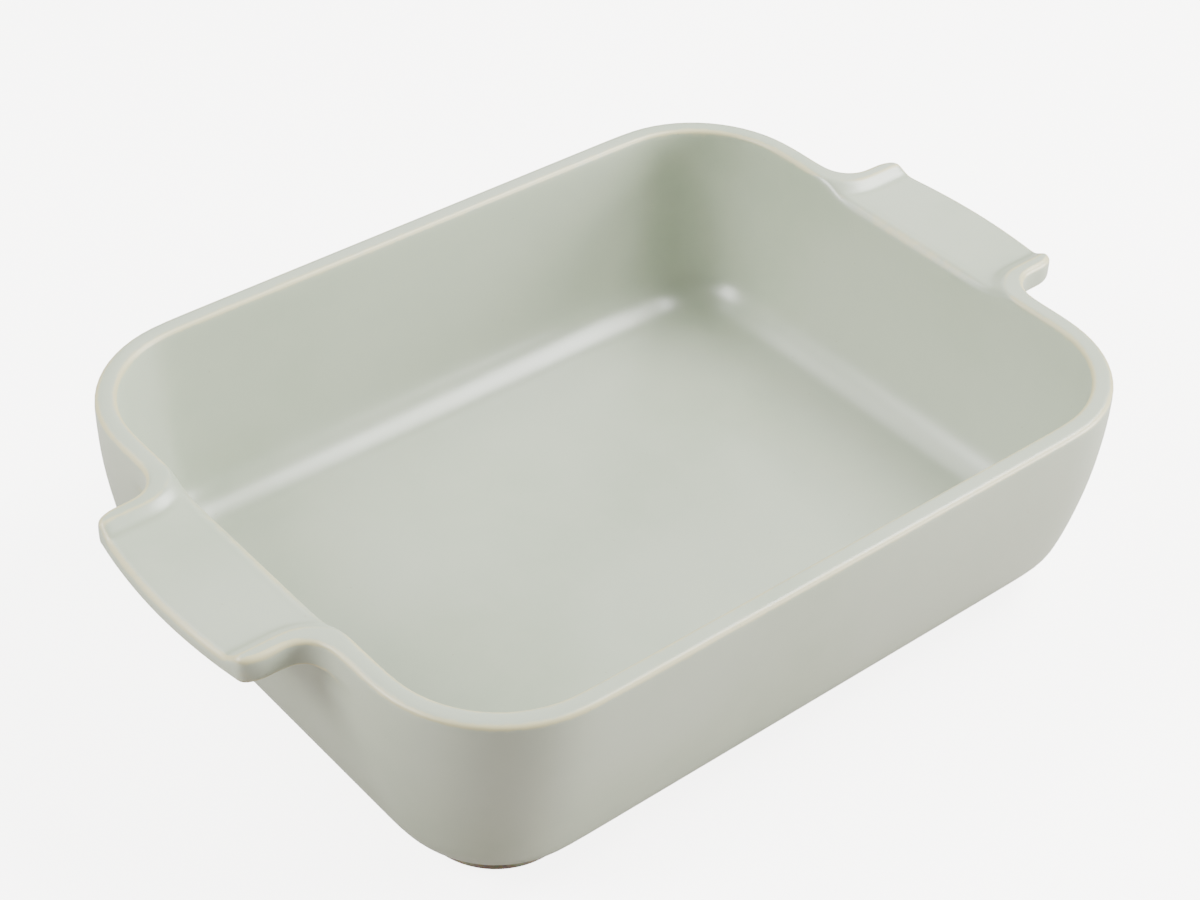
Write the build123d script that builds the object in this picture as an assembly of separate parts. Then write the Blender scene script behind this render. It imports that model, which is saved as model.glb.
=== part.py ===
"""A stoneware lasagna dish: one fired body with two lugs, and the glaze fused over it.

X runs along the dish from lug to lug, Y across it, and Z up from the surface it stands on.
"""
from build123d import *
from math import acos, cos, degrees, hypot, radians, sqrt, tan
import os

# Driving dimensions, in millimetres and degrees

# Body, measured at the outer line of the rim
body_length = 330.0
body_width = 258.5
body_height = 92.0
corner_radius = 51.6

# Rim and wall
rim_width = 8.5
rim_edge_radius = 2.2
collar_height = 15.0
wall_draw = 15.2
wall_bow_rise = 8.0
bottom_rounding = 26.0
floor_fillet = 22.0

# Foot ring, left bare, the shallow recess inside it and the floor above that
foot_inset = 22.9
foot_height = 4.0
foot_width = 9.0
foot_bevel = 1.0
recess_depth = 3.0
floor_thickness = 9.0

# Lugs at the two short sides
lug_reach = 31.0
lug_width = 94.0
lug_thickness = 10.0
lug_bow_radius = 235.0
lug_tip_radius = 6.0
lug_flare_radius = 15.0
lug_flare_angle = 25.0
lug_root_radius = 4.0
lug_lower_radius = 3.2

# Thumb plate between the raised arms of each lug
plate_drop = 3.5
plate_edge_radius = 2.6
mouth_flare_radius = 18.0
mouth_flare_angle = 35.0
mouth_corner_radius = 6.0
roll_radius = 4.0
roll_end_radius = 0.8
roll_overrun = 4.5
roll_runout = 14.0

# Glaze
glaze_thickness = 0.4

# Levels and lines worked out from the sizes above
half_length = body_length / 2
half_width = body_width / 2
collar_base = body_height - collar_height
bow_depth = collar_base + wall_bow_rise - foot_height
bow_start = (wall_draw ** 2 + bow_depth ** 2 - wall_bow_rise ** 2) / (2 * wall_draw)
wall_bow_radius = hypot(bow_start, wall_bow_rise)
plate_level = body_height - plate_drop
floor_level = recess_depth + floor_thickness
inner_line = half_length - rim_width
arm_line = lug_width / 2 - rim_width
lug_end = half_length + lug_reach
lug_level = body_height - lug_thickness
lug_limit = lug_width / 2 + lug_flare_radius

# Overlap between pieces of the form before they are fused, and how closely places are compared
lap = 1.0
near = 0.01
foot_top = floor_level - lap


def rounded(inset):
    """Plan of the rim's outer line, drawn in by an inset."""
    return RectangleRounded(body_length - 2 * inset, body_width - 2 * inset, corner_radius - inset)


def ring_plan(outer_inset, inner_inset):
    return rounded(outer_inset) - rounded(inner_inset)


def bow_point(edge, radius, height):
    """Point on a bowed wall face that starts at the collar's base, at an inset of edge.

    The bow is struck from a little above that base. X is measured from the corner's centre.
    """
    start = sqrt(radius ** 2 - wall_bow_rise ** 2)
    inset = edge + start - sqrt(radius ** 2 - (collar_base + wall_bow_rise - height) ** 2)
    return Vector(corner_radius - inset, height)


def bow(edge, radius, low):
    middle = (collar_base + low) / 2
    return ThreePointArc(*(bow_point(edge, radius, height) for height in (collar_base, middle, low)))


def core_line():
    """Distance from the corner's centre to the flat core of the floor."""
    return bow_point(rim_width, wall_bow_radius - rim_width, floor_level).X - floor_fillet


def wall_section(skin):
    """Section through wall and floor edge, with its exposed faces drawn in by the skin."""
    underside = foot_height + skin
    floor = floor_level - skin
    top = lug_level + skin
    with BuildSketch() as section:
        with BuildLine():
            outer = bow(skin, wall_bow_radius - skin, underside)
            inner = bow(rim_width - skin, wall_bow_radius - rim_width + skin, floor)
            Polyline(outer @ 0, ((outer @ 0).X, top), ((inner @ 0).X, top), inner @ 0)
            Polyline(outer @ 1, (core_line(), underside), (core_line(), floor), inner @ 1)
        make_face()
        fillet(section.vertices().sort_by_distance(outer @ 1)[0], bottom_rounding - skin)
        fillet(section.vertices().sort_by_distance(inner @ 1)[0], floor_fillet + skin)
    return section.sketch


def carry_round(section):
    """Carries a section round the rim's line: a quarter turn per corner, a prism per side."""
    upright = Plane.XZ * section
    corner = revolve(upright, Axis.Z, 90)
    run_x = half_length - corner_radius
    run_y = half_width - corner_radius
    form = Part()
    for x, y, angle in ((1, 1, 0), (-1, 1, 90), (-1, -1, 180), (1, -1, 270)):
        form += Pos(x * run_x, y * run_y) * Rot(0, 0, angle) * corner
    for angle in (0, 180):
        half_turn = Rot(0, 0, angle)
        form += half_turn * Pos(run_x, run_y) * extrude(upright, 2 * run_y, dir=(0, -1, 0))
        form += half_turn * Pos(run_x, run_y) * extrude(Rot(0, 0, 90) * upright, 2 * run_x, dir=(-1, 0, 0))
    return form


def flared_strip(line, half, end, centre, radius, back):
    """Plan of a strip that leaves the line X = line, flares towards it and ends in a shallow bow.

    The centre is that of the flare on the +Y side. Past the line the flare runs on straight, so that
    it also meets a line that has begun to round its corner.
    """
    angle = acos((centre[0] - line) / radius)
    corner = (end - lug_bow_radius + sqrt(lug_bow_radius ** 2 - half ** 2), half)
    with BuildSketch() as plan:
        with BuildLine():
            flare = CenterArc(centre, radius, 180 + degrees(angle), 90 - degrees(angle))
            Line(flare @ 1, corner)
            Polyline(flare @ 0, flare @ 0 + Vector(-back, back / tan(angle)), (line - back, 0))
            mirror(about=Plane.XZ)
            ThreePointArc(corner, (end, 0), (corner[0], -half))
        make_face()
    return plan.sketch


def flare_centre(line, half, radius, angle):
    return (line + radius * cos(radians(angle)), half + radius)


def both_ends(shape):
    return shape + Rot(0, 0, 180) * shape


def collar_plan(skin):
    """Plan of the rim with its lugs, with its sides drawn in by the skin."""
    centre = flare_centre(half_length, lug_width / 2, lug_flare_radius, lug_flare_angle)
    lug = flared_strip(half_length - skin, lug_width / 2 - skin, lug_end - skin, centre,
                       lug_flare_radius + skin, rim_width / 2)
    tips = lug.vertices().group_by(Axis.X)[-1]
    return ring_plan(skin, rim_width - skin) + both_ends(fillet(tips, lug_tip_radius - skin))


def mouth_plan(skin):
    """Plan of the lowered mouth of each lug, between its raised arms."""
    centre = flare_centre(inner_line, arm_line, mouth_flare_radius, mouth_flare_angle)
    return both_ends(flared_strip(inner_line + skin, arm_line + skin, lug_end + lap, centre,
                                  mouth_flare_radius - skin, lap))


def roll_cutter(skin):
    """Cuts the plate's inner edge to a roll that runs out towards the arms."""
    level = plate_level - skin
    face_x = inner_line + skin
    outer_y = arm_line + roll_overrun
    inner_y = outer_y - roll_runout
    sections = []
    for y, full in ((-outer_y, roll_end_radius), (-inner_y, roll_radius),
                    (inner_y, roll_radius), (outer_y, roll_end_radius)):
        r = full - skin
        with BuildSketch(Plane.XZ.offset(-y)) as section:
            with BuildLine():
                Polyline((face_x, level - r), (face_x - lap, level - r), (face_x - lap, level + lap),
                         (face_x + r, level + lap), (face_x + r, level))
                CenterArc((face_x + r, level - r), r, 90, 90)
            make_face()
        sections.append(section.sketch)
    return both_ends(loft(sections, ruled=True))


def level_edges(form, height):
    """Edges that lie flat at a height."""
    return form.edges().filter_by_position(Axis.Z, height - near, height + near)


def on_line(outline, point):
    """Whether a point lies above or on a line drawn at Z = 0."""
    return outline.distance_to(Vector(point.X, point.Y, 0)) < near


def dish_form(skin):
    """The whole dish, with its glazed faces drawn in by the skin and its foot ring left as it is.

    The foot ring rises into the wall's rounded bottom, up to a level just under the floor.
    """
    wall_line = half_length - skin
    lug_base = lug_level + skin
    plate = plate_level - skin
    rim = body_height - skin

    form = carry_round(wall_section(skin))
    floor = rounded(corner_radius - core_line())
    form += Pos(0, 0, foot_height + skin) * extrude(floor, floor_level - foot_height - 2 * skin)
    base = rounded(foot_inset + foot_width / 2)
    form += Pos(0, 0, recess_depth + skin) * extrude(base, foot_top - recess_depth - skin)
    form += extrude(ring_plan(foot_inset, foot_inset + foot_width), foot_top)
    form += Pos(0, 0, lug_base) * extrude(collar_plan(skin), rim - lug_base)
    lower = [e for e in level_edges(form, lug_base) if abs(e.center().X) > wall_line + near]
    form = fillet(lower, lug_lower_radius - skin)
    outline = rounded(skin).wire()
    roots = [e for e in form.edges()
             if lug_base - near < e.center().Z < rim - near and abs(e.center().Y) < lug_limit
             and all(on_line(outline, e @ place) for place in (0, 0.5, 1))]
    form = fillet(roots, lug_root_radius + skin)
    form -= Pos(0, 0, plate) * extrude(mouth_plan(skin), plate_drop + lap)
    corners = [e for e in form.edges().filter_by(Axis.Z)
               if e.center().Z > plate and abs(e.center().Y) < lug_limit
               and abs(abs(e.center().X) - inner_line - skin) < near]
    form = fillet(corners, mouth_corner_radius - skin)
    form -= roll_cutter(skin)
    ends = [e for e in level_edges(form, plate) if abs(e.center().X) > lug_end - skin - near]
    form = fillet(ends, plate_edge_radius - skin)
    form = fillet(level_edges(form, rim), rim_edge_radius - skin)
    form = chamfer(level_edges(form, 0), foot_bevel)
    return form


if __name__ == "__main__":
    os.makedirs("parts", exist_ok=True)
    body = dish_form(glaze_thickness)
    coats = (dish_form(0) - body).solids().sort_by(SortBy.VOLUME)
    export_step(body, "parts/stoneware_body.step")
    export_step(coats[-1], "parts/glaze_coat.step")
    export_step(coats[0], "parts/base_glaze.step")
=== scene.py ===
"""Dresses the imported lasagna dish: its glazed stoneware surface, its bare foot ring and the studio round it.

Lengths are in metres, in the frame of the CAD part: X from lug to lug, Z up from the floor.
"""

from math import asin, cos, hypot, pi, radians, sin, sqrt

import bmesh
import bpy
from mathutils import Matrix, Vector


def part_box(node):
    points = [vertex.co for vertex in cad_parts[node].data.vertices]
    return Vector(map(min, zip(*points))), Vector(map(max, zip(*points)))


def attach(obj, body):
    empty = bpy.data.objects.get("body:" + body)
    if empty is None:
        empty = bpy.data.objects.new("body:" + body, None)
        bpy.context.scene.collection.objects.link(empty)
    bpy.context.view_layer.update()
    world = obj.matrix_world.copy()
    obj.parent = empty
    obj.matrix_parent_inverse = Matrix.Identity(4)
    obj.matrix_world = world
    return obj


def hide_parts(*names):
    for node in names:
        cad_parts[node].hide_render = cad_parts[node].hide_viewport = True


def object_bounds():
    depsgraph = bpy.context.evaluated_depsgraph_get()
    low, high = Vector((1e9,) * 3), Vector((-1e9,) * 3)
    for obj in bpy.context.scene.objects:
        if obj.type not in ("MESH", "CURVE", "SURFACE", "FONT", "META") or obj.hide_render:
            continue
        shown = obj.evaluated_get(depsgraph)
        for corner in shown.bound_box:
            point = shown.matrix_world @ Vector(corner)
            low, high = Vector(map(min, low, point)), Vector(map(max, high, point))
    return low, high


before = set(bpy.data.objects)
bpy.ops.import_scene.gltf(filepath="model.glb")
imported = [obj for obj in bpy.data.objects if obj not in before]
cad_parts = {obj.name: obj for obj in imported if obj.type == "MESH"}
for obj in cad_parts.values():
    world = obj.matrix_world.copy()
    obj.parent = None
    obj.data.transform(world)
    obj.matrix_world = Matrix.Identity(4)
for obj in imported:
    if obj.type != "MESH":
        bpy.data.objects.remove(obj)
cad_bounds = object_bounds()

MM = 0.001

# Sizes of the dish, from the frame where it holds them

_, coat_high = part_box("glaze_coat")
base_low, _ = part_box("base_glaze")
HALF_LENGTH = 165 * MM
HALF_WIDTH = coat_high.y
RIM_LEVEL = coat_high.z
CORNER = 51.6 * MM
WALL = 8.5 * MM
RIM_ROUND = 2.2 * MM
FLOOR_LEVEL = 12 * MM
FLOOR_FILLET = 22 * MM
BOTTOM_ROUND = 26 * MM
UNDERSIDE = 4 * MM

# The wall is upright at the collar and bows in below it, by the draw, down to the underside

COLLAR_BASE = RIM_LEVEL - 15 * MM
WALL_DRAW = 15.2 * MM
BOW_RISE = 8 * MM
BOW_TOP = COLLAR_BASE + BOW_RISE
BOW_START = (WALL_DRAW ** 2 + (BOW_TOP - UNDERSIDE) ** 2 - BOW_RISE ** 2) / (2 * WALL_DRAW)
BOW_RADIUS = hypot(BOW_START, BOW_RISE)

# Foot ring and glaze

FOOT_OUTER = 22.9 * MM
FOOT_INNER = 31.9 * MM
FOOT_BEVEL = 1 * MM
BASE_LEVEL = base_low.z
GLAZE = 0.4 * MM
CLAY_DEPTH = 1.1 * GLAZE

# Lugs: raised arms that flow from the rim round a lowered thumb plate

LUG_END = cad_bounds[1][0]
LUG_LEVEL = RIM_LEVEL - 10.9 * MM
PLATE_DROP = 3.5 * MM
ARM_OUTER = 47 * MM
ARM_INNER = 41.3 * MM
ARM_SLOPE = 7 * MM
FLARE = 12 * MM
MOUTH = 17.5 * MM
BOW_END = 235 * MM
TIP = 6 * MM
LUG_TOP_ROUND = 2.6 * MM
LUG_LOWER_ROUND = 2.2 * MM
LOWER_ROUND_RUN = 6 * MM
LUG_ROOT = 4 * MM
ROLL = 4 * MM
ROLL_DIP = 0.1 * MM
ROLL_CREST_SHIFT = 1.2 * MM
ROLL_LIP_SHIFT = 0.8 * MM

# Below the rim the stations of the short side draw apart, from their places in the lug to even ones

GATHER_TOP = 12 * MM
GATHER_RUN = 23 * MM

# Lines of the lug where its root starts to fade into the wall under the arm, and over how much

ROOT_FADE_LINE = 0.9
ROOT_FADE_RUN = 0.6

RUN_X = HALF_LENGTH - CORNER
RUN_Y = HALF_WIDTH - CORNER
INNER_LINE = HALF_LENGTH - WALL
FLARE_CENTRE = Vector((HALF_LENGTH + FLARE, ARM_OUTER + FLARE))
MOUTH_CENTRE = Vector((INNER_LINE + MOUTH, ARM_INNER + MOUTH))
QUARTER_TURN = [radians(a) for a in (0, 30, 60, 90)]


def clamp(value, low=0.0, high=1.0):
    return max(low, min(high, value))


def mix(a, b, share):
    return a + (b - a) * share


def ease(share):
    share = clamp(share)
    return share * share * (3 - 2 * share)


# Section of the wall, from the flat floor over the rim to the foot: the heights of its rows on the two
# faces, and the depths below the rim of the rows that the lug's lower edge grows from

INSIDE_LEVELS = [z * MM for z in (40, 52, 64, 73, 79)]
OUTSIDE_LEVELS = [z * MM for z in (73, 61, 48, 35)]
UNDER_DEPTHS = [z * MM for z in (6.8, 8.25, 9.5, 11)]
ROUND_STEPS = 6


def bowed(edge, z):
    """Inset of a bowed wall face that has the inset edge at the collar."""
    radius = BOW_RADIUS - edge
    return edge + sqrt(radius ** 2 - BOW_RISE ** 2) - sqrt(radius ** 2 - (BOW_TOP - z) ** 2)


def rounding(edge, radius, level, last_inset=None):
    """Points of the round from a bowed face down to a level face, or only as far as an inset."""
    reach = BOW_RADIUS - edge - radius
    drop = BOW_TOP - level - radius
    centre = BOW_START - sqrt(reach ** 2 - drop ** 2)
    first = pi / 2 - asin(drop / reach)
    last = 0 if last_inset is None else asin((centre - last_inset) / radius)
    turns = [mix(first, last, step / ROUND_STEPS) for step in range(ROUND_STEPS + 1)]
    return [(centre - radius * sin(turn), level + radius - radius * cos(turn)) for turn in turns]


def section():
    """Names, insets and heights of the rows of the wall's section."""
    rows = [("floor", *p) for p in reversed(rounding(WALL, FLOOR_FILLET, FLOOR_LEVEL))]
    rows += [("inside", bowed(WALL, z), z) for z in INSIDE_LEVELS]
    rows += [("roll", WALL - RIM_ROUND * (1 - cos(a)), RIM_LEVEL - RIM_ROUND * (1 - sin(a)))
             for a in QUARTER_TURN]
    rows += [("crest", WALL / 2, RIM_LEVEL)]
    rows += [("lip", RIM_ROUND * (1 - sin(a)), RIM_LEVEL - RIM_ROUND * (1 - cos(a)))
             for a in QUARTER_TURN]
    rows += [("under", 0.0, RIM_LEVEL - depth) for depth in UNDER_DEPTHS]
    rows += [("outside", bowed(0.0, z), z) for z in OUTSIDE_LEVELS]
    rows += [("bottom", *p) for p in rounding(0.0, BOTTOM_ROUND, UNDERSIDE, FOOT_OUTER)]
    return rows


ROWS = section()
BAND_TOP = [i for i, row in enumerate(ROWS) if row[0] == "lip"][0]
BAND_BASE = [i for i, row in enumerate(ROWS) if row[0] == "under"][-1]
FIRST_ROLL = [i for i, row in enumerate(ROWS) if row[0] == "roll"][0]
GLAZE_LINE = ROWS[-1][2]


def foot_section():
    """Rows of the bare foot ring, from the glaze line down and round to the recess inside it."""
    places = [(FOOT_OUTER, GLAZE_LINE - 0.5 * MM), (FOOT_OUTER, GLAZE_LINE / 2), (FOOT_OUTER, FOOT_BEVEL),
              (FOOT_OUTER + FOOT_BEVEL, 0.0), ((FOOT_OUTER + FOOT_INNER) / 2, 0.0),
              (FOOT_INNER - FOOT_BEVEL, 0.0), (FOOT_INNER, FOOT_BEVEL), (FOOT_INNER, BASE_LEVEL + GLAZE / 2)]
    return [("foot", *place) for place in places]


# Stations round a quarter of the dish, from the middle of the long side to the middle of the lug.
# A lug station is given as its even place along the wall and its line in the lug: a share of the way
# from the arm's inner line (0) to its outer line (1), or below that a share of the plate's half width.

LONG_SIDE = [x * MM for x in (0, 19, 38, 57, 76, 95)]
CORNER_STEPS = 8
LUG_STATIONS = [(69.5, 1.6), (63, 1.0), (57.5, 0.55), (52, 0.27), (47, 0.0), (42.5, -0.04), (38, -0.08),
                (33.5, -0.125), (28.5, -0.18), (22.5, -0.3), (15.5, -0.5), (8, -0.75), (0, -1.0)]
LAYERS = [x * MM for x in (1.2, 4, 7.5, 11.5, 16, 20.5, 25)] + [LUG_END - HALF_LENGTH]

FIRST_CORNER = len(LONG_SIDE)
FIRST_LUG = FIRST_CORNER + CORNER_STEPS + 1
OUTER_ARM = FIRST_LUG + 1
LAST_STATION = FIRST_LUG + len(LUG_STATIONS) - 1


def mouth_line(x):
    """Half width of the mouth: the line where the rim's inner edge turns out into the arm."""
    off = MOUTH_CENTRE.x - x
    return ARM_INNER if off <= 0 else MOUTH_CENTRE.y - sqrt(max(MOUTH ** 2 - off ** 2, 0))


def flare_line(x):
    """Half width of the lug: the rim's outer edge, the flare, the arm's side and its rounded tip."""
    tip_start = end_line(ARM_OUTER - TIP) - TIP
    if x <= HALF_LENGTH:
        return FLARE_CENTRE.y
    if x < FLARE_CENTRE.x:
        return FLARE_CENTRE.y - sqrt(FLARE ** 2 - (FLARE_CENTRE.x - x) ** 2)
    if x <= tip_start:
        return ARM_OUTER
    return ARM_OUTER - TIP + sqrt(max(TIP ** 2 - (x - tip_start) ** 2, 0))


def end_line(y):
    """Reach of the lug's bowed end, with the arm's tip rounded off."""
    bow = LUG_END - BOW_END + sqrt(BOW_END ** 2 - min(y, ARM_OUTER - TIP) ** 2)
    past = y - (ARM_OUTER - TIP)
    return bow if past <= 0 else bow - TIP + sqrt(max(TIP ** 2 - past ** 2, 0))


TIP_TURN = ARM_OUTER - TIP * (1 - sin(pi / 4))


def lug_place(x, line):
    """Plan place of a line of the lug, at a distance x from the dish's middle before it is bent."""
    end_y = mix(ARM_INNER, TIP_TURN, line) if line > 0 else ARM_INNER * (1 + line)
    stretch = (x - HALF_LENGTH) / (LUG_END - HALF_LENGTH)
    if x <= HALF_LENGTH:
        place_x, side_x = x, x
    else:
        place_x = HALF_LENGTH + stretch * (end_line(end_y) - HALF_LENGTH)
        side_x = HALF_LENGTH + stretch * (end_line(TIP_TURN) - HALF_LENGTH)
    inner = mouth_line(max(place_x, INNER_LINE))
    if line > 0:
        return Vector((place_x, mix(inner, flare_line(side_x), line)))
    return Vector((place_x, inner * (1 + line)))


def outward(p):
    """Outward direction of the lug's edge at a point of it."""
    tip = Vector((end_line(ARM_OUTER - TIP) - TIP, ARM_OUTER - TIP))
    if p.y <= tip.y:
        return (p - Vector((LUG_END - BOW_END, 0))).normalized()
    if p.x > tip.x:
        return (p - tip).normalized()
    if p.x > FLARE_CENTRE.x:
        return Vector((0, 1))
    return (FLARE_CENTRE - p).normalized()


def lift(p):
    """Share of the way up from the thumb plate to the rim's level at a plan point."""
    if p.y >= MOUTH_CENTRE.y:
        return 1.0
    inside = p.y - ARM_INNER if p.x > MOUTH_CENTRE.x else MOUTH - (p - MOUTH_CENTRE).length
    share = clamp(1 + inside / ARM_SLOPE)
    return mix(ease(share), share ** 2, 0.5)


def top_level(p):
    return RIM_LEVEL - PLATE_DROP * (1 - lift(p))


def on_short_side(row, name, inset, z, station):
    """Place of a vertex of the short side's wall, rim or thumb plate, before any lug layer."""
    even, line = LUG_STATIONS[station - FIRST_LUG]
    x = HALF_LENGTH - inset
    if line > 1:
        gathered = mix(FLARE_CENTRE.y, RUN_Y, 0.5)
        plan = Vector((x, gathered))
    else:
        plan = lug_place(clamp(x, INNER_LINE, HALF_LENGTH), line)
        plan.x = x
    plan.y = mix(even * MM, plan.y, ease((z - RIM_LEVEL + GATHER_TOP + GATHER_RUN) / GATHER_RUN))
    if line > 1 or FIRST_ROLL > row or row > BAND_BASE:
        return Vector((plan.x, plan.y, z))
    edge = lug_place(INNER_LINE, line)
    down = 1 - lift(edge)
    if name == "roll":
        turn = QUARTER_TURN[row - FIRST_ROLL]
        radius = mix(RIM_ROUND, ROLL, down)
        plan = lug_place(INNER_LINE + radius * (1 - cos(turn)), line)
        return Vector((plan.x, plan.y, top_level(plan) - radius * (1 - sin(turn))))
    if name == "crest":
        plan = lug_place(mix(x, x + ROLL_CREST_SHIFT, down), line)
        return Vector((plan.x, plan.y, top_level(plan) - ROLL_DIP * down))
    if row == BAND_TOP:
        plan = lug_place(mix(x, x + ROLL_LIP_SHIFT, down), line)
        return Vector((plan.x, plan.y, top_level(plan)))
    if row == BAND_BASE:
        hidden = ease((ROOT_FADE_LINE - line) / ROOT_FADE_RUN)
        return Vector((plan.x, plan.y, mix(z, LUG_LEVEL - LUG_ROOT, hidden)))
    return Vector((plan.x, plan.y, z))


def on_lug(row, layer, station):
    """Place of a vertex of one of the layers that the lug is drawn out in."""
    line = LUG_STATIONS[station - FIRST_LUG][1]
    p = lug_place(HALF_LENGTH + LAYERS[layer - 1], line)
    at_edge = station == OUTER_ARM or layer == len(LAYERS)
    out = p.x - HALF_LENGTH
    if row < BAND_TOP + len(QUARTER_TURN):
        turn = QUARTER_TURN[row - BAND_TOP]
        radius = mix(RIM_ROUND, LUG_TOP_ROUND, ease(out / (LUG_END - HALF_LENGTH)))
        if at_edge:
            p = p - radius * (1 - sin(turn)) * outward(p)
        return Vector((p.x, p.y, top_level(p) - radius * (1 - cos(turn))))
    turn = QUARTER_TURN[row - BAND_TOP - len(QUARTER_TURN)]
    under = LUG_LEVEL - LUG_ROOT * (1 - sqrt(1 - (1 - clamp(out / LUG_ROOT)) ** 2))
    if at_edge:
        p = p - ease(out / LOWER_ROUND_RUN) * LUG_LOWER_ROUND * (1 - cos(turn)) * outward(p)
    return Vector((p.x, p.y, under + LUG_LOWER_ROUND * (1 - sin(turn))))


def place(row, station, layer, rows):
    """Place of a vertex of the quarter dish, from its row in the section, its station and its layer."""
    name, inset, z = rows[row]
    if layer:
        return on_lug(row, layer, station)
    if station >= FIRST_LUG:
        return on_short_side(row, name, inset, z, station)
    if station < FIRST_CORNER:
        return Vector((LONG_SIDE[station], HALF_WIDTH - inset, z))
    turn = pi / 2 * (1 - (station - FIRST_CORNER) / CORNER_STEPS)
    return Vector((RUN_X + (CORNER - inset) * cos(turn), RUN_Y + (CORNER - inset) * sin(turn), z))


# Making the mesh

SAME_PLACE = 0.01 * MM

# Bend across an edge, in radians a millimetre, from which the glaze runs thin or pools, and how much
# more takes it all the way

THIN_BEND = 0.06
THIN_RUN = 0.28
POOL_BEND = 0.03
POOL_RUN = 0.22


def of_type(result, kind):
    return [item for item in result["geom"] if isinstance(item, kind)]


def quarter_dish(bm, rows):
    """A quarter of the dish: the section drawn round from the long side, then the lug drawn out."""
    row_of = bm.verts.layers.int.new("row")
    station_of = bm.verts.layers.int.new("station")
    layer_of = bm.verts.layers.int.new("layer")
    chain = []
    for row, (_, inset, z) in enumerate(rows):
        vert = bm.verts.new((0, HALF_WIDTH - inset, z))
        vert[row_of] = row
        chain.append(vert)
    edges = [bm.edges.new(pair) for pair in zip(chain, chain[1:])]
    for station in range(1, LAST_STATION + 1):
        made = bmesh.ops.extrude_edge_only(bm, edges=edges)
        verts = of_type(made, bmesh.types.BMVert)
        for vert in verts:
            vert[station_of] = station
        fresh = set(verts)
        edges = [e for e in of_type(made, bmesh.types.BMEdge) if set(e.verts) <= fresh]

    def in_band(face):
        return all(BAND_TOP <= v[row_of] <= BAND_BASE and v[station_of] >= OUTER_ARM for v in face.verts)

    band = [f for f in bm.faces if in_band(f)]
    for layer in range(1, len(LAYERS) + 1):
        made = bmesh.ops.extrude_face_region(bm, geom=band)
        bmesh.ops.delete(bm, geom=band, context="FACES")
        for vert in of_type(made, bmesh.types.BMVert):
            vert[layer_of] = layer
        band = of_type(made, bmesh.types.BMFace)
    inner_walls = [f for f in bm.faces if all(v[station_of] == LAST_STATION for v in f.verts)]
    bmesh.ops.delete(bm, geom=inner_walls, context="FACES")
    for vert in bm.verts:
        vert.co = place(vert[row_of], vert[station_of], vert[layer_of], rows)
    return row_of, station_of


def whole_from_quarter(bm):
    for axis in "XY":
        bmesh.ops.mirror(bm, geom=bm.verts[:] + bm.edges[:] + bm.faces[:], matrix=Matrix.Identity(4),
                         merge_dist=SAME_PLACE, axis=axis)


def close_level_face(bm, row, row_of, station_of):
    """Fills the level face that one row surrounds with a grid of quads."""
    middle = FIRST_CORNER + CORNER_STEPS // 2
    sides = [e for e in bm.edges if len(e.link_faces) == 1
             and all(v[row_of] == row and v[station_of] <= middle for v in e.verts)]
    bmesh.ops.grid_fill(bm, edges=sides, use_interp_simple=True)


def note_edges_and_hollows(bm):
    """Notes on each vertex how far the glaze runs thin over an edge there, or pools in a hollow.

    Both come from the bend between neighbouring faces, per millimetre across them.
    """
    thin_of = bm.verts.layers.float.new("thin")
    pool_of = bm.verts.layers.float.new("pool")
    for vert in bm.verts:
        bends = [0.0]
        for edge in vert.link_edges:
            if len(edge.link_faces) == 2:
                one, other = (face.calc_center_median() for face in edge.link_faces)
                bends.append(edge.calc_face_angle_signed() / ((one - other).length / MM))
        vert[thin_of] = ease((max(bends) - THIN_BEND) / THIN_RUN)
        vert[pool_of] = ease((-min(bends) - POOL_BEND) / POOL_RUN)


def finished(bm, name, material):
    bmesh.ops.recalc_face_normals(bm, faces=bm.faces[:])
    note_edges_and_hollows(bm)
    mesh = bpy.data.meshes.new(name)
    bm.to_mesh(mesh)
    bm.free()
    for polygon in mesh.polygons:
        polygon.use_smooth = True
    mesh.materials.append(material)
    piece = bpy.data.objects.new(name, mesh)
    bpy.context.collection.objects.link(piece)
    return piece


def rounded(piece, levels):
    modifier = piece.modifiers.new("rounded", "SUBSURF")
    modifier.levels = levels
    modifier.render_levels = levels


# Materials

def linear(code):
    """An sRGB hex colour as the linear colour that a shader takes."""
    shares = [int(code[i:i + 2], 16) / 255 for i in (1, 3, 5)]
    return [s / 12.92 if s <= 0.04045 else ((s + 0.055) / 1.055) ** 2.4 for s in shares] + [1.0]


def per(size):
    """Scale of a pattern whose marks are a size in millimetres."""
    return 1 / (size * MM)


def add(tree, kind, settings, inputs):
    """Adds a node, with its settings, and its inputs each set to a value or linked to a socket."""
    made = tree.nodes.new(kind)
    for name, value in settings.items():
        setattr(made, name, value)
    for name, value in inputs.items():
        if isinstance(value, bpy.types.NodeSocket):
            tree.links.new(value, made.inputs[name])
        else:
            made.inputs[name].default_value = value
    return made


def empty_material(name):
    material = bpy.data.materials.new(name)
    material.use_nodes = True
    material.node_tree.nodes.clear()
    return material, material.node_tree


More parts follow.
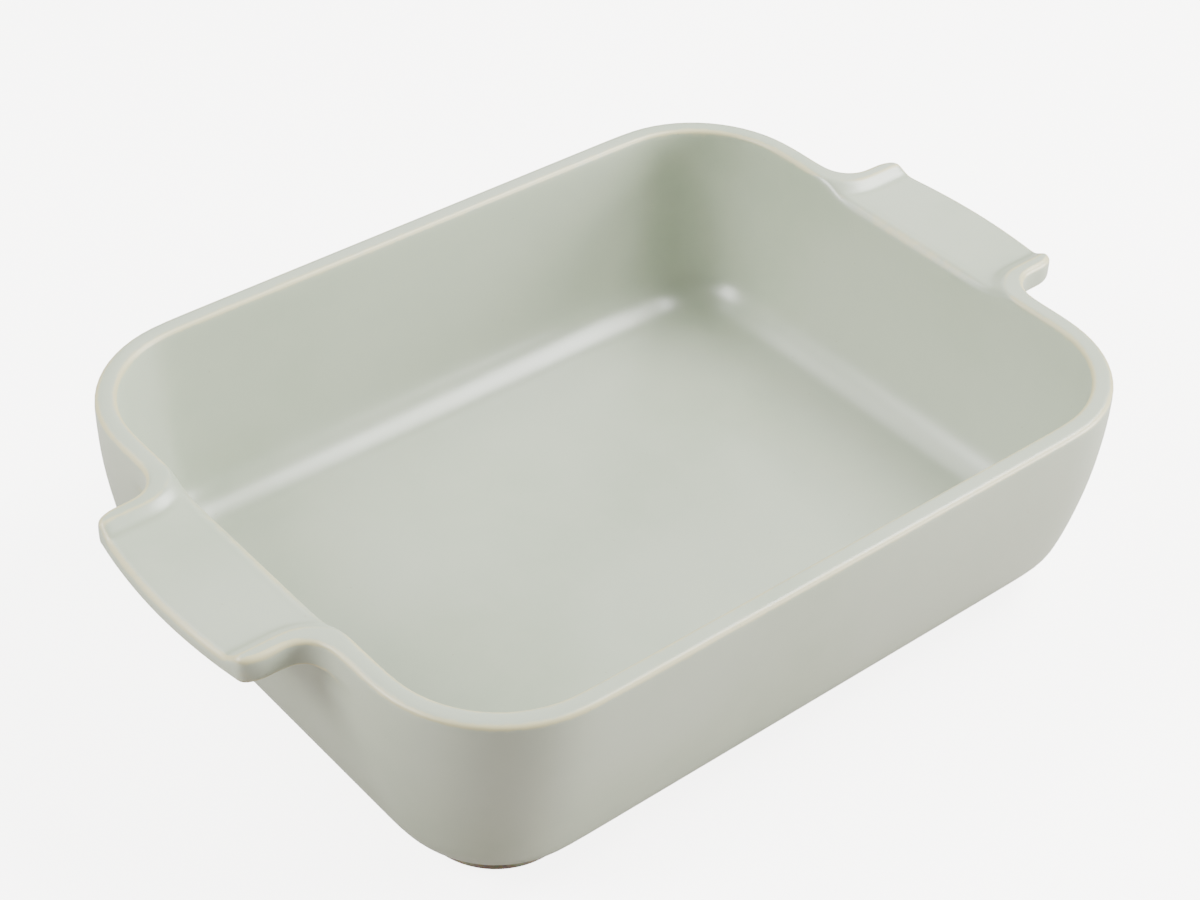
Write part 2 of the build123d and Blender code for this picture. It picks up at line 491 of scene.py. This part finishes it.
def satin_sage_glaze():
    """A satin feldspar glaze, dipped and fired on stoneware.

    It gives a soft broad sheen and a pale grey-green that is never quite even. It breaks to cream where
    it runs thin over an edge, is greener where it pools, and has a few iron specks and pinholes.
    """
    material, tree = empty_material("satin_sage_glaze")
    at = add(tree, "ShaderNodeTexCoord", {}, {}).outputs["Object"]
    thin = add(tree, "ShaderNodeAttribute", {"attribute_name": "thin"}, {}).outputs["Fac"]
    pool = add(tree, "ShaderNodeAttribute", {"attribute_name": "pool"}, {}).outputs["Fac"]

    # Drifts in the glaze from its dipping, a hand's breadth across, and closer clouding within them
    drift = add(tree, "ShaderNodeTexNoise", {}, {"Vector": at, "Scale": per(95), "Detail": 2.0})
    cloud = add(tree, "ShaderNodeTexNoise", {},
                {"Vector": at, "Scale": per(16), "Detail": 4.0, "Roughness": 0.6})
    drift_share = add(tree, "ShaderNodeMapRange", {"interpolation_type": "SMOOTHSTEP"},
                      {"Value": drift.outputs["Fac"], "From Min": 0.36, "From Max": 0.64})
    cloud_share = add(tree, "ShaderNodeMapRange", {"interpolation_type": "SMOOTHSTEP"},
                      {"Value": cloud.outputs["Fac"], "From Min": 0.25, "From Max": 0.75, "To Max": 0.35})
    drifted = add(tree, "ShaderNodeMix", {"data_type": "RGBA"},
                  {0: drift_share.outputs[0], 6: linear("#A6B09A"), 7: linear("#AEB6A3")})
    clouded = add(tree, "ShaderNodeMix", {"data_type": "RGBA"},
                  {0: cloud_share.outputs[0], 6: drifted.outputs[2], 7: linear("#B4BAA6")})

    # Greener glaze where it gathers in a hollow
    pooled_share = add(tree, "ShaderNodeMath", {"operation": "MULTIPLY"}, {0: pool, 1: 0.7})
    pooled = add(tree, "ShaderNodeMix", {"data_type": "RGBA"},
                 {0: pooled_share.outputs[0], 6: clouded.outputs[2], 7: linear("#8C967E")})

    # Cream clay showing through on edges, in a line that wanders and thins out every few millimetres
    wander = add(tree, "ShaderNodeTexNoise", {},
                 {"Vector": at, "Scale": per(4), "Detail": 3.0, "Roughness": 0.6})
    fade = add(tree, "ShaderNodeTexNoise", {}, {"Vector": at, "Scale": per(22), "Detail": 1.0})
    ragged = add(tree, "ShaderNodeMath", {"operation": "MULTIPLY_ADD"},
                 {0: wander.outputs["Fac"], 1: 1.3, 2: thin})
    faded = add(tree, "ShaderNodeMath", {"operation": "MULTIPLY_ADD"},
                {0: fade.outputs["Fac"], 1: 0.6, 2: ragged.outputs[0]})
    break_share = add(tree, "ShaderNodeMapRange", {"interpolation_type": "SMOOTHSTEP"},
                      {"Value": faded.outputs[0], "From Min": 1.2, "From Max": 1.9})
    edge_share = add(tree, "ShaderNodeMath", {"operation": "MULTIPLY"}, {0: break_share.outputs[0], 1: thin})
    broken = add(tree, "ShaderNodeMix", {"data_type": "RGBA"},
                 {0: edge_share.outputs[0], 6: pooled.outputs[2], 7: linear("#C6C096")})

    # Iron specks: real ones are 0.2 mm across, drawn at three times that so that they show
    speck = add(tree, "ShaderNodeTexVoronoi", {}, {"Vector": at, "Scale": per(11)})
    speck_share = add(tree, "ShaderNodeMapRange", {"interpolation_type": "SMOOTHSTEP"},
                      {"Value": speck.outputs["Distance"], "From Min": 0.015, "From Max": 0.045,
                       "To Min": 0.35, "To Max": 0.0})
    specked = add(tree, "ShaderNodeMix", {"data_type": "RGBA"},
                  {0: speck_share.outputs[0], 6: broken.outputs[2], 7: linear("#8C8063")})

    # Sheen: a little drier where the glaze is thin and in the clouds
    sheen = add(tree, "ShaderNodeMapRange", {},
                {"Value": cloud.outputs["Fac"], "From Min": 0.2, "From Max": 0.8,
                 "To Min": 0.285, "To Max": 0.33})
    dryness = add(tree, "ShaderNodeMath", {"operation": "MULTIPLY_ADD"},
                  {0: edge_share.outputs[0], 1: 0.1, 2: sheen.outputs[0]})

    # Relief: a slow ripple 9 mm across and pinholes half a millimetre wide, drawn at nearly a millimetre
    ripple = add(tree, "ShaderNodeTexNoise", {}, {"Vector": at, "Scale": per(9), "Detail": 2.0})
    rippled = add(tree, "ShaderNodeBump", {},
                  {"Height": ripple.outputs["Fac"], "Strength": 1.0, "Distance": 0.05 * MM})
    pinhole = add(tree, "ShaderNodeTexVoronoi", {}, {"Vector": at, "Scale": per(8)})
    pit = add(tree, "ShaderNodeMapRange", {"interpolation_type": "SMOOTHSTEP"},
              {"Value": pinhole.outputs["Distance"], "From Min": 0.02, "From Max": 0.06})
    pitted = add(tree, "ShaderNodeBump", {},
                 {"Height": pit.outputs[0], "Strength": 0.3, "Distance": 0.08 * MM,
                  "Normal": rippled.outputs["Normal"]})

    glaze = add(tree, "ShaderNodeBsdfPrincipled", {},
                {"Base Color": specked.outputs[2], "Roughness": dryness.outputs[0], "IOR": 1.7,
                 "Normal": pitted.outputs["Normal"]})
    add(tree, "ShaderNodeOutputMaterial", {}, {"Surface": glaze.outputs[0]})
    return material


def bare_fired_stoneware():
    """Stoneware clay fired without glaze and ground flat on its foot.

    It gives a dry buff grey with no sheen, a sandy grain, and darker iron flecks.
    """
    material, tree = empty_material("bare_fired_stoneware")
    at = add(tree, "ShaderNodeTexCoord", {}, {}).outputs["Object"]

    # Flame and ash tint in patches along the foot
    patch = add(tree, "ShaderNodeTexNoise", {}, {"Vector": at, "Scale": per(28), "Detail": 3.0})
    patch_share = add(tree, "ShaderNodeMapRange", {"interpolation_type": "SMOOTHSTEP"},
                      {"Value": patch.outputs["Fac"], "From Min": 0.35, "From Max": 0.65})
    clay = add(tree, "ShaderNodeMix", {"data_type": "RGBA"},
               {0: patch_share.outputs[0], 6: linear("#918975"), 7: linear("#9F9783")})

    # Grog in the clay: grains of 0.4 mm, drawn at 1 mm so that they show
    grog = add(tree, "ShaderNodeTexVoronoi", {"feature": "SMOOTH_F1"}, {"Vector": at, "Scale": per(1)})
    grained = add(tree, "ShaderNodeMix", {"data_type": "RGBA", "blend_type": "SOFT_LIGHT"},
                  {0: 0.35, 6: clay.outputs[2], 7: grog.outputs["Color"]})
    fleck = add(tree, "ShaderNodeTexVoronoi", {}, {"Vector": at, "Scale": per(4)})
    fleck_share = add(tree, "ShaderNodeMapRange", {},
                      {"Value": fleck.outputs["Distance"], "From Min": 0.06, "From Max": 0.11,
                       "To Min": 0.6, "To Max": 0.0})
    flecked = add(tree, "ShaderNodeMix", {"data_type": "RGBA"},
                  {0: fleck_share.outputs[0], 6: grained.outputs[2], 7: linear("#5E5442")})

    dryness = add(tree, "ShaderNodeMapRange", {},
                  {"Value": patch.outputs["Fac"], "From Min": 0.3, "From Max": 0.7,
                   "To Min": 0.82, "To Max": 0.92})
    sanded = add(tree, "ShaderNodeBump", {},
                 {"Height": grog.outputs["Distance"], "Strength": 0.7, "Distance": 0.12 * MM})
    clay_surface = add(tree, "ShaderNodeBsdfPrincipled", {},
                       {"Base Color": flecked.outputs[2], "Roughness": dryness.outputs[0], "IOR": 1.5,
                        "Normal": sanded.outputs["Normal"]})
    add(tree, "ShaderNodeOutputMaterial", {}, {"Surface": clay_surface.outputs[0]})
    return material


def backlit_white_acrylic():
    """An opal acrylic table, sanded matt and lit from below.

    It gives a near white ground with faint soft shadows. What it throws back on the dish is warmer and
    held down, as by the cloth that is laid round a dish to keep its walls from washing out.
    """
    material, tree = empty_material("backlit_white_acrylic")
    at = add(tree, "ShaderNodeTexCoord", {}, {}).outputs["Object"]
    sanding = add(tree, "ShaderNodeTexNoise", {}, {"Vector": at, "Scale": per(3), "Detail": 2.0})
    tone = add(tree, "ShaderNodeMix", {"data_type": "RGBA"},
               {0: sanding.outputs["Fac"], 6: linear("#E4E3E1"), 7: linear("#E8E7E5")})
    acrylic = add(tree, "ShaderNodeBsdfPrincipled", {},
                  {"Base Color": tone.outputs[2], "Roughness": 0.8, "IOR": 1.49, "Specular IOR Level": 0.2,
                   "Emission Color": linear("#FFFDFB"), "Emission Strength": 5.5})
    held_back = add(tree, "ShaderNodeBsdfDiffuse", {}, {"Color": linear("#BAB3AF")})
    path = add(tree, "ShaderNodeLightPath", {}, {})
    thrown_back = add(tree, "ShaderNodeMath", {"operation": "MAXIMUM"},
                      {0: path.outputs["Is Diffuse Ray"], 1: path.outputs["Is Glossy Ray"]})
    ground = add(tree, "ShaderNodeMixShader", {},
                 {0: thrown_back.outputs[0], 1: acrylic.outputs[0], 2: held_back.outputs[0]})
    add(tree, "ShaderNodeOutputMaterial", {}, {"Surface": ground.outputs[0]})
    material.cycles.emission_sampling = "NONE"
    return material


sage = satin_sage_glaze()
clay = bare_fired_stoneware()


def glaze_piece():
    """The glaze over the inside, the rim, the lugs and the outside down to the foot."""
    bm = bmesh.new()
    row_of, station_of = quarter_dish(bm, ROWS)
    whole_from_quarter(bm)
    close_level_face(bm, 0, row_of, station_of)
    piece = finished(bm, "sage_glaze", sage)
    coat = piece.modifiers.new("thickness", "SOLIDIFY")
    coat.thickness = GLAZE
    coat.offset = -1
    rounded(piece, 1)
    return piece


def body_piece():
    """The fired clay under the glaze, with the foot ring that is left bare."""
    rows = ROWS + foot_section()
    bm = bmesh.new()
    row_of, station_of = quarter_dish(bm, rows)
    whole_from_quarter(bm)
    close_level_face(bm, 0, row_of, station_of)
    close_level_face(bm, len(rows) - 1, row_of, station_of)
    bmesh.ops.recalc_face_normals(bm, faces=bm.faces[:])
    bm.normal_update()
    for vert in bm.verts:
        if vert.co.z > UNDERSIDE and rows[vert[row_of]][0] != "foot":
            vert.co -= CLAY_DEPTH * vert.normal
    piece = finished(bm, "bare_stoneware", clay)
    rounded(piece, 1)
    return piece


def base_piece():
    """The glaze on the recess inside the foot ring."""
    bm = bmesh.new()
    half_x = HALF_LENGTH - FOOT_INNER
    half_y = HALF_WIDTH - FOOT_INNER
    bmesh.ops.create_grid(bm, x_segments=1, y_segments=1, size=1)
    bmesh.ops.scale(bm, vec=(half_x, half_y, 1), verts=bm.verts)
    bmesh.ops.translate(bm, vec=(0, 0, BASE_LEVEL), verts=bm.verts)
    bmesh.ops.bevel(bm, geom=bm.verts[:], offset=CORNER - FOOT_INNER, offset_type="OFFSET", segments=12,
                    profile=0.5, affect="VERTICES", material=-1)
    made = bmesh.ops.extrude_face_region(bm, geom=bm.faces[:])
    bmesh.ops.translate(bm, vec=(0, 0, GLAZE), verts=of_type(made, bmesh.types.BMVert))
    return finished(bm, "base_glaze_coat", sage)


glaze = glaze_piece()
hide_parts("glaze_coat")
body = body_piece()
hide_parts("stoneware_body")
base = base_piece()
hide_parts("base_glaze")
for piece in (glaze, body, base):
    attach(piece, "root")

# Camera at the photograph's view

VIEW_TURN = radians(-41.216)
VIEW_TILT = radians(38.732)
VIEW_ROLL = radians(2.511)
VIEW_DISTANCE = 946.15 * MM
VIEW_TARGET = Vector((5.675, 11.323, 47.04)) * MM
SENSOR = 36
LENS = 2.0495 * SENSOR

back = Vector((sin(VIEW_TURN) * cos(VIEW_TILT), -cos(VIEW_TURN) * cos(VIEW_TILT), sin(VIEW_TILT)))
right = Vector((cos(VIEW_TURN), sin(VIEW_TURN), 0))
up = back.cross(right)
rolled_right = cos(VIEW_ROLL) * right + sin(VIEW_ROLL) * up
rolled_up = -sin(VIEW_ROLL) * right + cos(VIEW_ROLL) * up
lens = bpy.data.cameras.new("camera")
lens.sensor_width = SENSOR
lens.lens = LENS
camera = bpy.data.objects.new("camera", lens)
bpy.context.collection.objects.link(camera)
camera.matrix_world = Matrix((rolled_right, rolled_up, back)).transposed().to_4x4()
camera.location = VIEW_TARGET + VIEW_DISTANCE * back
bpy.context.scene.camera = camera

# Floor: a lit acrylic table, 8 m across

TABLE_REACH = 4

floor_mesh = bmesh.new()
bmesh.ops.create_grid(floor_mesh, x_segments=1, y_segments=1, size=TABLE_REACH)
finished(floor_mesh, "floor", backlit_white_acrylic())

# Past the table the camera sees as pale a backdrop, which throws no light on the dish

BACKDROP_GLOW = 8.0

world = bpy.data.worlds.new("studio")
world.use_nodes = True
world.node_tree.nodes.clear()
seen = add(world.node_tree, "ShaderNodeLightPath", {}, {})
glow = add(world.node_tree, "ShaderNodeMath", {"operation": "MULTIPLY"},
           {0: seen.outputs["Is Camera Ray"], 1: BACKDROP_GLOW})
backdrop = add(world.node_tree, "ShaderNodeBackground", {},
               {"Color": linear("#F6F8FA"), "Strength": glow.outputs[0]})
add(world.node_tree, "ShaderNodeOutputWorld", {}, {"Surface": backdrop.outputs[0]})
bpy.context.scene.world = world

# Light: softboxes high and low to each side, and a faint one behind


def softbox(name, turn, tilt, distance, size, power):
    """A square softbox, aimed at the dish from a turn round it and a tilt above the floor.

    Both are in degrees, the distance and the size of the box in metres, and its power in watts.
    """
    light = bpy.data.lights.new(name, "AREA")
    light.energy = power
    light.size = size
    lamp = bpy.data.objects.new(name, light)
    toward = Vector((sin(radians(turn)) * cos(radians(tilt)), -cos(radians(turn)) * cos(radians(tilt)),
                     sin(radians(tilt))))
    lamp.location = toward * distance
    lamp.rotation_euler = toward.to_track_quat("Z", "Y").to_euler()
    bpy.context.collection.objects.link(lamp)


softbox("right_high", 72, 53, 1.3, 0.65, 31)
softbox("right_low", 50, 14, 2.2, 0.9, 92)
softbox("left_high", -110, 40, 1.3, 0.56, 23)
softbox("left_back", -156, 54, 1.3, 0.55, 6)
softbox("left_low", -125, 14, 2.2, 0.9, 10)
softbox("behind", 139, 35, 1.5, 0.9, 4)
